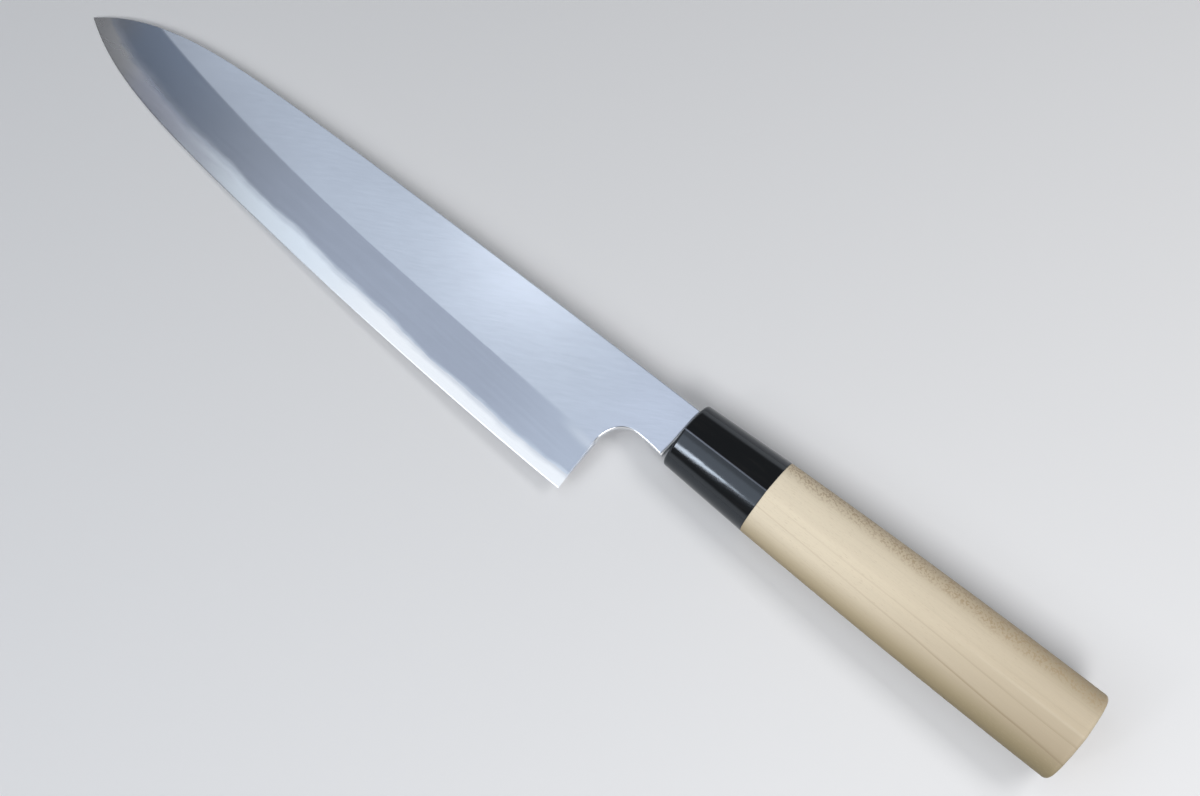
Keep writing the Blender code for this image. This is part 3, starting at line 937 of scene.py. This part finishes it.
def bevel_colour(f, place, along, depth, clouds):
    """The smooth bevel: lengthwise streaks, haze above the weld, partly painted shade to the tip, painted
    light by the heel.
    """
    streaks = f.grain(place, (42.0, 1.3, 1.3), turn=-3, detail=2, seed=7)
    mottle = f.grain(place, (9.0, 4.0, 4.0), detail=3, seed=9)
    # Darker towards the tip: painted shade, partly the finish.
    colour = f.blend(f.ramp(along, *BEVEL_TO_TIP), BEVEL, BEVEL_TIP_SHADED)
    colour = f.blend(f.ramp(along, *BEVEL_TO_POINT), colour, BEVEL_POINT)
    # Paler by the heel: painted light.
    colour = f.blend(f.ramp(along, *BEVEL_TO_HEEL), colour, BEVEL_HEEL_PAINTED_LIGHT)
    colour = f.shade(colour, streaks, 0.05)
    colour = f.shade(colour, mottle, 0.04)

    to_tip = way_to_tip(f, along, clouds)
    haze_top = f.level(to_tip, HAZE_ABOVE, HAZE_ABOVE_TIP)
    strength = f.level(to_tip, 0.55, 0.45)
    haze = f.ramp(wavering_weld(f, place), haze_top, HAZE_ABOVE_FULL, 0.0, strength)
    colour = f.blend(haze, colour, f.blend(to_tip, CORE_COOL, CORE_TIP_SHADED))
    # A painted highlight below the shinogi by the heel.
    painted_highlight = f.product(f.ramp(along, *HIGHLIGHT_TO_HEEL), f.ramp(depth, *HIGHLIGHT_BELOW_RIDGE), 0.8)
    return f.blend(painted_highlight, colour, HEEL_PAINTED_HIGHLIGHT)


def cladding_finish():
    """Soft steel: satin above the shinogi, smooth below it, with bright rims and a dull end of the neck."""
    f = Finish("satin_cladding", Metallic=1.0)
    place = f.attribute("knife_place")
    along = f.axis(place, "X")
    scratches = f.grain(place, (6.0, 0.28, 0.28), turn=25, detail=2)
    strokes = f.grain(place, (5.0, 0.9, 0.9), turn=27, detail=2, seed=3)
    clouds = f.grain(place, (26.0, 12.0, 12.0), turn=24, seed=5)

    depth = f.attribute("below_ridge")
    ragged = f.math("ADD", depth, f.level(strokes, -BORDER_RAGGED, BORDER_RAGGED))
    by_heel = f.ramp(along, *BORDER_TO_HEEL, BORDER_WIDTH, BORDER_WIDTH_HEEL)
    width = f.math("ADD", by_heel, f.ramp(along, *BORDER_TO_TIP, 0.0, BORDER_MORE_TIP))
    below = f.math("ADD", f.math("DIVIDE", ragged, width), 0.5, clamp=True)
    hira = hira_colour(f, along, strokes, scratches, clouds)
    colour = f.blend(below, hira, bevel_colour(f, place, along, depth, clouds))
    rough = f.level(below, f.level(scratches, 0.20, 0.24), 0.27)

    rim = f.attribute("rim")
    above_heel = f.ramp(f.axis(place, "Y"), *POLISHED_FROM)
    colour = f.blend(f.product(rim, above_heel), colour, POLISHED_RIM)
    rough = f.product(rough, f.level(rim, 1.0, f.level(above_heel, 1.8, 0.5)))

    chamfer = f.ramp(f.attribute("past_neck"), *ON_CHAMFER)
    colour = f.blend(chamfer, colour, POLISHED_RIM)
    rough = f.level(chamfer, rough, 0.55)
    f.bump(f.product(scratches, f.level(below, 1.0, 0.0)), 4e-7)
    return f.surface(scaled_and_shaded_tang(f, colour), rough)


def core_finish():
    """Bright hard steel, hazy along the weld and greyer towards the tip, partly painted shade, with soft
    clouds.
    """
    f = Finish("bright_core", Metallic=1.0)
    place = f.attribute("knife_place")
    along = f.axis(place, "X")
    fine = f.grain(place, (9.0, 0.35, 0.35), turn=-4, detail=2)
    clouds = f.grain(place, (12.0, 2.4, 2.4), detail=2, seed=2)

    to_tip = way_to_tip(f, along, clouds)
    # Greyer towards the tip: painted shade, partly the finish.
    dull = f.blend(f.ramp(clouds, 0.38, 0.62), CORE_TIP_SHADED, CORE_TIP_CLOUD_SHADED)
    colour = f.blend(f.ramp(along, *CORE_TO_COOL), CORE, CORE_COOL)
    colour = f.blend(to_tip, colour, dull)
    colour = f.blend(f.ramp(along, *CORE_TO_POINT, 0.0, 0.8), colour, CORE_POINT)
    colour = f.shade(colour, fine, 0.02)
    haze = f.ramp(wavering_weld(f, place), *HAZE_BELOW, 0.0, f.level(to_tip, 0.42, 0.55))
    colour = f.blend(haze, colour, f.blend(to_tip, BEVEL, BEVEL_TIP_SHADED))
    rough = f.math("ADD", f.level(to_tip, 0.26, 0.27), f.level(clouds, -0.015, 0.015))
    f.bump(fine, 2e-7)
    return f.surface(scaled_and_shaded_tang(f, colour), rough)


def horn_finish():
    """Polished near-black horn with a painted highlight on its ridge, faint fibres, buffing marks and
    waves.
    """
    f = Finish("polished_horn", IOR=1.65, Specular_Tint=(0.80, 0.89, 1.0, 1.0))
    place = f.attribute("knife_place")
    x, y, z = (f.axis(place, letter) for letter in "XYZ")
    fibres = f.grain(place, (16.0, 0.5, 0.5), detail=3)
    clouds = f.grain(place, (9.0, 4.0, 4.0), seed=3)
    streak = f.product(f.ramp(fibres, 0.45, 0.75), f.ramp(clouds, 0.40, 0.70))
    colour = f.blend(streak, HORN, HORN_STREAK)
    # A painted highlight along the ridge.
    on_ridge = f.ramp(f.apart(y, HORN_RIDGE_Y), *HORN_RIDGE_WIDTH)
    ridge_highlight = f.product(on_ridge, f.ramp(z, *HORN_RIDGE_DOWN), f.ramp(x, *HORN_RIDGE_BACK))
    colour = f.blend(ridge_highlight, colour, HORN_RIDGE_HIGHLIGHT)
    buffing = f.grain(place, (9.0, 0.45, 0.45), turn=11, detail=2, seed=6)
    waves = f.grain(place, (14.0, 6.0, 6.0), detail=1, seed=8)
    relief = f.math("ADD", waves, f.product(buffing, 0.34))
    f.bump(relief, 1.0e-5)
    return f.surface(colour, f.level(buffing, 0.06, 0.17))


def ring_lines(f, place):
    """Strength of the wood's ring lines: a plain one, one half as strong above it, faint ones beyond."""
    x, y, z = (f.axis(place, letter) for letter in "XYZ")
    wander = f.grain(place, (60.0, 12.0, 12.0), seed=1)
    way = f.math("DIVIDE", f.math("SUBTRACT", x, RING_SPREAD_START), RING_SPREAD_LENGTH)
    drop = f.math("SUBTRACT", f.product(z, RING_LEAN), y)
    drop = f.math("DIVIDE", drop, f.level(way, 1.0, RING_SPREAD))
    drop = f.math("ADD", drop, f.level(wander, -RING_WANDER, RING_WANDER))
    ring = f.math("DIVIDE", f.math("SUBTRACT", drop, RING_FIRST), RING_STEP)
    phase = f.math("FRACT", ring)
    late = f.product(f.ramp(phase, 0.84, 0.97), f.ramp(phase, 1.0, 0.98))
    patches = f.grain(place, (25.0, 1.5, 1.5), seed=15)
    to_butt = f.ramp(x, *RINGS_TO_BUTT, 0.35, 0.75)
    strength = f.product(f.ramp(patches, 0.25, 0.60, 0.6, 1.0), to_butt)
    beyond = f.ramp(f.apart(ring, 0.5), 0.9, 0.7, 0.25, 1.0)
    return f.product(late, strength, beyond, f.ramp(ring, 0.2, 0.6, 0.5, 1.0))


def shaded_wood(f, colour, y, to_butt, fibres):
    """The colour, with painted shade towards the butt and along both rims."""
    # Painted shade towards the butt, stronger on the lower side.
    shaded = f.product(to_butt, f.ramp(y, *SHADED_ACROSS, 0.62, 0.95))
    colour = f.blend(shaded, colour, f.shade(WOOD_SHADED, fibres, 0.05))
    # Painted shade on the lower rim and, towards the butt, on the upper rim.
    rim = f.shade(f.blend(to_butt, WOOD_RIM_SHADE, WOOD_RIM_SHADE_BUTT), fibres, 0.05)
    upper_rim_shade = f.product(to_butt, 0.60, f.ramp(y, *UPPER_RIM))
    return f.blend(f.math("ADD", f.ramp(y, *LOWER_RIM), upper_rim_shade), colour, rim)


def wood_ridge_highlight_and_shade(f, colour, x, y):
    """The colour, with a painted highlight on the ridge and painted shade below it, both towards the butt.
    """
    # Painted shade below the ridge, then a painted highlight on it.
    below = f.product(f.ramp(x, *SHADOW_TO_BUTT), f.ramp(y, *BELOW_WOOD_RIDGE))
    colour = f.shade(colour, below, -0.035)
    on_ridge = f.ramp(f.apart(y, WOOD_RIDGE_Y), *WOOD_RIDGE_WIDTH)
    return f.blend(f.product(on_ridge, f.ramp(x, *RIDGE_TO_BUTT, 0.0, 0.13)), colour, WOOD_RIDGE_HIGHLIGHT)


def flecked_wood(f, place, colour, y, tone):
    """The colour, with crossing flecks along the spine's side and darker there, partly figure and partly
    painted shade, down to a cloudy border.
    """
    flecks = f.grain(place, (2.1, 0.65, 0.65), turn=62, detail=1, seed=6)
    crossing = f.grain(place, (1.8, 0.60, 0.60), turn=-50, detail=1, seed=8)
    border = f.math("ADD", y, f.level(tone, -FLECKED_CLOUDING, FLECKED_CLOUDING))
    back_side = f.ramp(border, *FLECKED_SIDE)
    fleck = f.ramp(f.math("MAXIMUM", flecks, crossing), 0.52, 0.66)
    colour = f.blend(f.product(fleck, back_side, 0.80), colour, WOOD_FLECK)
    # Darker along the spine's side: partly figure, partly painted shade.
    return f.blend(f.product(back_side, 0.30), colour, WOOD_LINE)


def magnolia_finish():
    """Cream wood with fine fibres and pores, ring lines that spread towards the butt, flecks, painted shade
    and highlight.
    """
    f = Finish("magnolia_wood", Specular_IOR_Level=0.15)
    place = f.attribute("knife_place")
    x, y = (f.axis(place, letter) for letter in "XY")
    to_butt = f.ramp(x, *WOOD_TO_BUTT)

    fibres = f.grain(place, (11.0, 0.28, 0.28), detail=3, seed=2)
    bands = f.grain(place, (70.0, 2.2, 2.2), detail=2, seed=3)
    tone = f.grain(place, (30.0, 9.0, 9.0), seed=4)
    colour = f.shade(WOOD, fibres, 0.05)
    colour = f.shade(colour, bands, 0.05)
    colour = f.shade(colour, tone, 0.04)
    colour = shaded_wood(f, colour, y, to_butt, fibres)
    # Ring lines, darker towards the butt with the painted shade.
    colour = f.blend(ring_lines(f, place), colour, f.blend(to_butt, WOOD_LINE, WOOD_LINE_SHADED))
    colour = wood_ridge_highlight_and_shade(f, colour, x, y)

    pores = f.grain(place, (1.6, 0.13, 0.13), detail=1, seed=5)
    pore = f.ramp(pores, 0.60, 0.74, 0.0, 0.45)
    colour = f.blend(pore, colour, WOOD_PORE)
    colour = flecked_wood(f, place, colour, y, tone)

    relief = f.math("SUBTRACT", fibres, f.product(pore, 1.5))
    f.bump(relief, 8e-6)
    return f.surface(colour, f.level(fibres, 0.50, 0.62))


def dowel_finish():
    """Sawn wood for the dowel inside; its mesh is the solid's own, so it reads the world's metres."""
    f = Finish("dowel_wood_finish")
    spot = f.node("ShaderNodeTexCoord", {}, "Object")
    place = f.node("ShaderNodeVectorMath", {0: spot, "Scale": 1 / MM}, operation="SCALE")
    fibres = f.grain(place, (9.0, 0.3, 0.3), detail=3)
    bands = f.grain(place, (40.0, 1.6, 1.6), detail=2, seed=2)
    colour = f.shade(DOWEL, fibres, 0.10)
    colour = f.blend(f.ramp(bands, 0.5, 0.7, 0.0, 0.6), colour, DOWEL_LINE)
    f.bump(fibres, 2e-5)
    return f.surface(colour, f.level(fibres, 0.55, 0.70))


def resin_finish():
    """Dark sealing resin with a dull, slightly uneven face."""
    f = Finish("sealing_resin")
    place = f.attribute("knife_place")
    lumps = f.grain(place, (1.2, 1.2, 1.2), detail=3)
    colour = f.blend(f.ramp(lumps, 0.4, 0.7), RESIN, RESIN_LIGHT)
    f.bump(lumps, 4e-5)
    return f.surface(colour, f.level(lumps, 0.35, 0.55))


def make_camera():
    """The photograph's camera, as measured in the knife's frame."""
    rx, ry, rz = CAMERA_TURN
    turn = Matrix.Rotation(rz, 4, "Z") @ Matrix.Rotation(ry, 4, "Y") @ Matrix.Rotation(rx, 4, "X")
    turn = turn @ Matrix.Rotation(-CAMERA_ROLL, 4, "Z")
    data = bpy.data.cameras.new("camera")
    data.sensor_width = SENSOR_WIDTH
    data.lens = SENSOR_WIDTH * FOCUS_PIXELS / PICTURE_WIDTH
    camera = bpy.data.objects.new("camera", data)
    camera.matrix_world = KNIFE @ Matrix.Translation(CAMERA_PLACE) @ turn
    bpy.context.scene.collection.objects.link(camera)
    bpy.context.scene.camera = camera


def soft_box(name, place, size, radiance, colour=WHITE, turn=0.0):
    """A rectangular light that faces down, of that radiance, at a place of the knife's frame."""
    width, height = size
    data = bpy.data.lights.new(name, "AREA")
    data.shape = "RECTANGLE"
    data.size = width
    data.size_y = height
    data.color = colour
    data.energy = radiance * math.pi * width * height
    lamp = bpy.data.objects.new(name, data)
    lamp.matrix_world = KNIFE @ Matrix.Translation(place) @ Matrix.Rotation(math.radians(turn), 4, "Z")
    lamp.visible_camera = False
    bpy.context.scene.collection.objects.link(lamp)


def make_lights():
    """Cool panels that the blade mirrors, a glint before them, and boxes to the right for the handle.

    The horn mirrors the front panel in its paler lower part and the strip named front in its streak.
    """
    soft_box("panel", (-0.21, -0.02, LAMP_HEIGHT), (0.46, 0.36), 0.86, COOL)
    soft_box("tip_panel", (-0.52, 0.11, LAMP_HEIGHT), (0.16, 0.18), 0.80, COOL)
    soft_box("front_panel", (-0.19, -0.32, LAMP_HEIGHT), (0.42, 0.24), 1.50, COOL)
    soft_box("glint", (-0.230, 0.096, GLINT_HEIGHT), (0.082, 0.092), 1.04)
    soft_box("front", (-0.176, -0.510, LAMP_HEIGHT), (0.230, 0.050), 14.0, PALE_COOL, turn=61)
    soft_box("back_right", (0.35, 0.36, LAMP_HEIGHT), (0.40, 0.26), 5.0)
    soft_box("right", (0.41, -0.20, LAMP_HEIGHT), (0.28, 0.27), 10.6)


def make_world():
    """Dim above, and pale up to a little over the horizon, where it is the background."""
    world = bpy.data.worlds.new("studio")
    world.use_nodes = True
    bpy.context.scene.world = world
    f = Nodes(world.node_tree)
    direction = f.node("ShaderNodeTexCoord", {}, "Generated")
    low = f.ramp(f.axis(direction, "Z"), BACKDROP_END, BACKDROP_FULL)
    pale = f.product(low, f.background_rays())
    background = f.tree.nodes["Background"]
    background.inputs["Color"].default_value = (*BACKDROP_COLOUR, 1.0)
    f.tree.links.new(f.level(pale, AMBIENT, BACKDROP), background.inputs["Strength"])


def make_floor():
    """A plain floor, pale where it is seen or mirrored, that throws little light up at the knife.

    Further off, where the lamps don't reach, it turns into the backdrop.
    """
    backdrop = (*BACKDROP_COLOUR, 1.0)
    f = Finish("pale_floor", Roughness=0.8, Specular_IOR_Level=0.2, Emission_Color=backdrop)
    shown = f.background_rays()
    place = f.node("ShaderNodeNewGeometry", {}, "Position")
    distance = f.node("ShaderNodeVectorMath", {0: place}, "Value", operation="LENGTH")
    far = f.product(f.ramp(distance, FLOOR_LIT, FLOOR_END), shown)
    colour = f.blend(far, f.blend(shown, FLOOR_BOUNCE, FLOOR_SHOWN), BLACK)
    f.tree.links.new(colour, f.shader.inputs["Base Color"])
    f.tree.links.new(f.product(far, BACKDROP), f.shader.inputs["Emission Strength"])
    mesh = bmesh.new()
    bmesh.ops.create_grid(mesh, x_segments=1, y_segments=1, size=FLOOR_REACH)
    data = bpy.data.meshes.new("floor")
    mesh.to_mesh(data)
    mesh.free()
    data.materials.append(f.material)
    floor = bpy.data.objects.new("floor", data)
    floor.location = (0, 0, cad_box[0].z - FLOOR_DROP)
    bpy.context.scene.collection.objects.link(floor)


def refinish(node, material):
    """Gives a CAD node that stays a better material."""
    for slot in frame["nodes"][node].material_slots:
        slot.material = material


make_camera()
make_lights()
make_world()
make_floor()
cladding = cladding_finish()
make_core(core_finish())
make_cladding("left_layer", 1, cladding, "cladding_left")
make_cladding("right_layer", -1, cladding, "cladding_right")
make_ferrule(horn_finish())
make_grip(magnolia_finish())
make_seal(resin_finish())
refinish("ferrule_dowel", dowel_finish())
bpy.context.scene.view_settings.view_transform = "Standard"
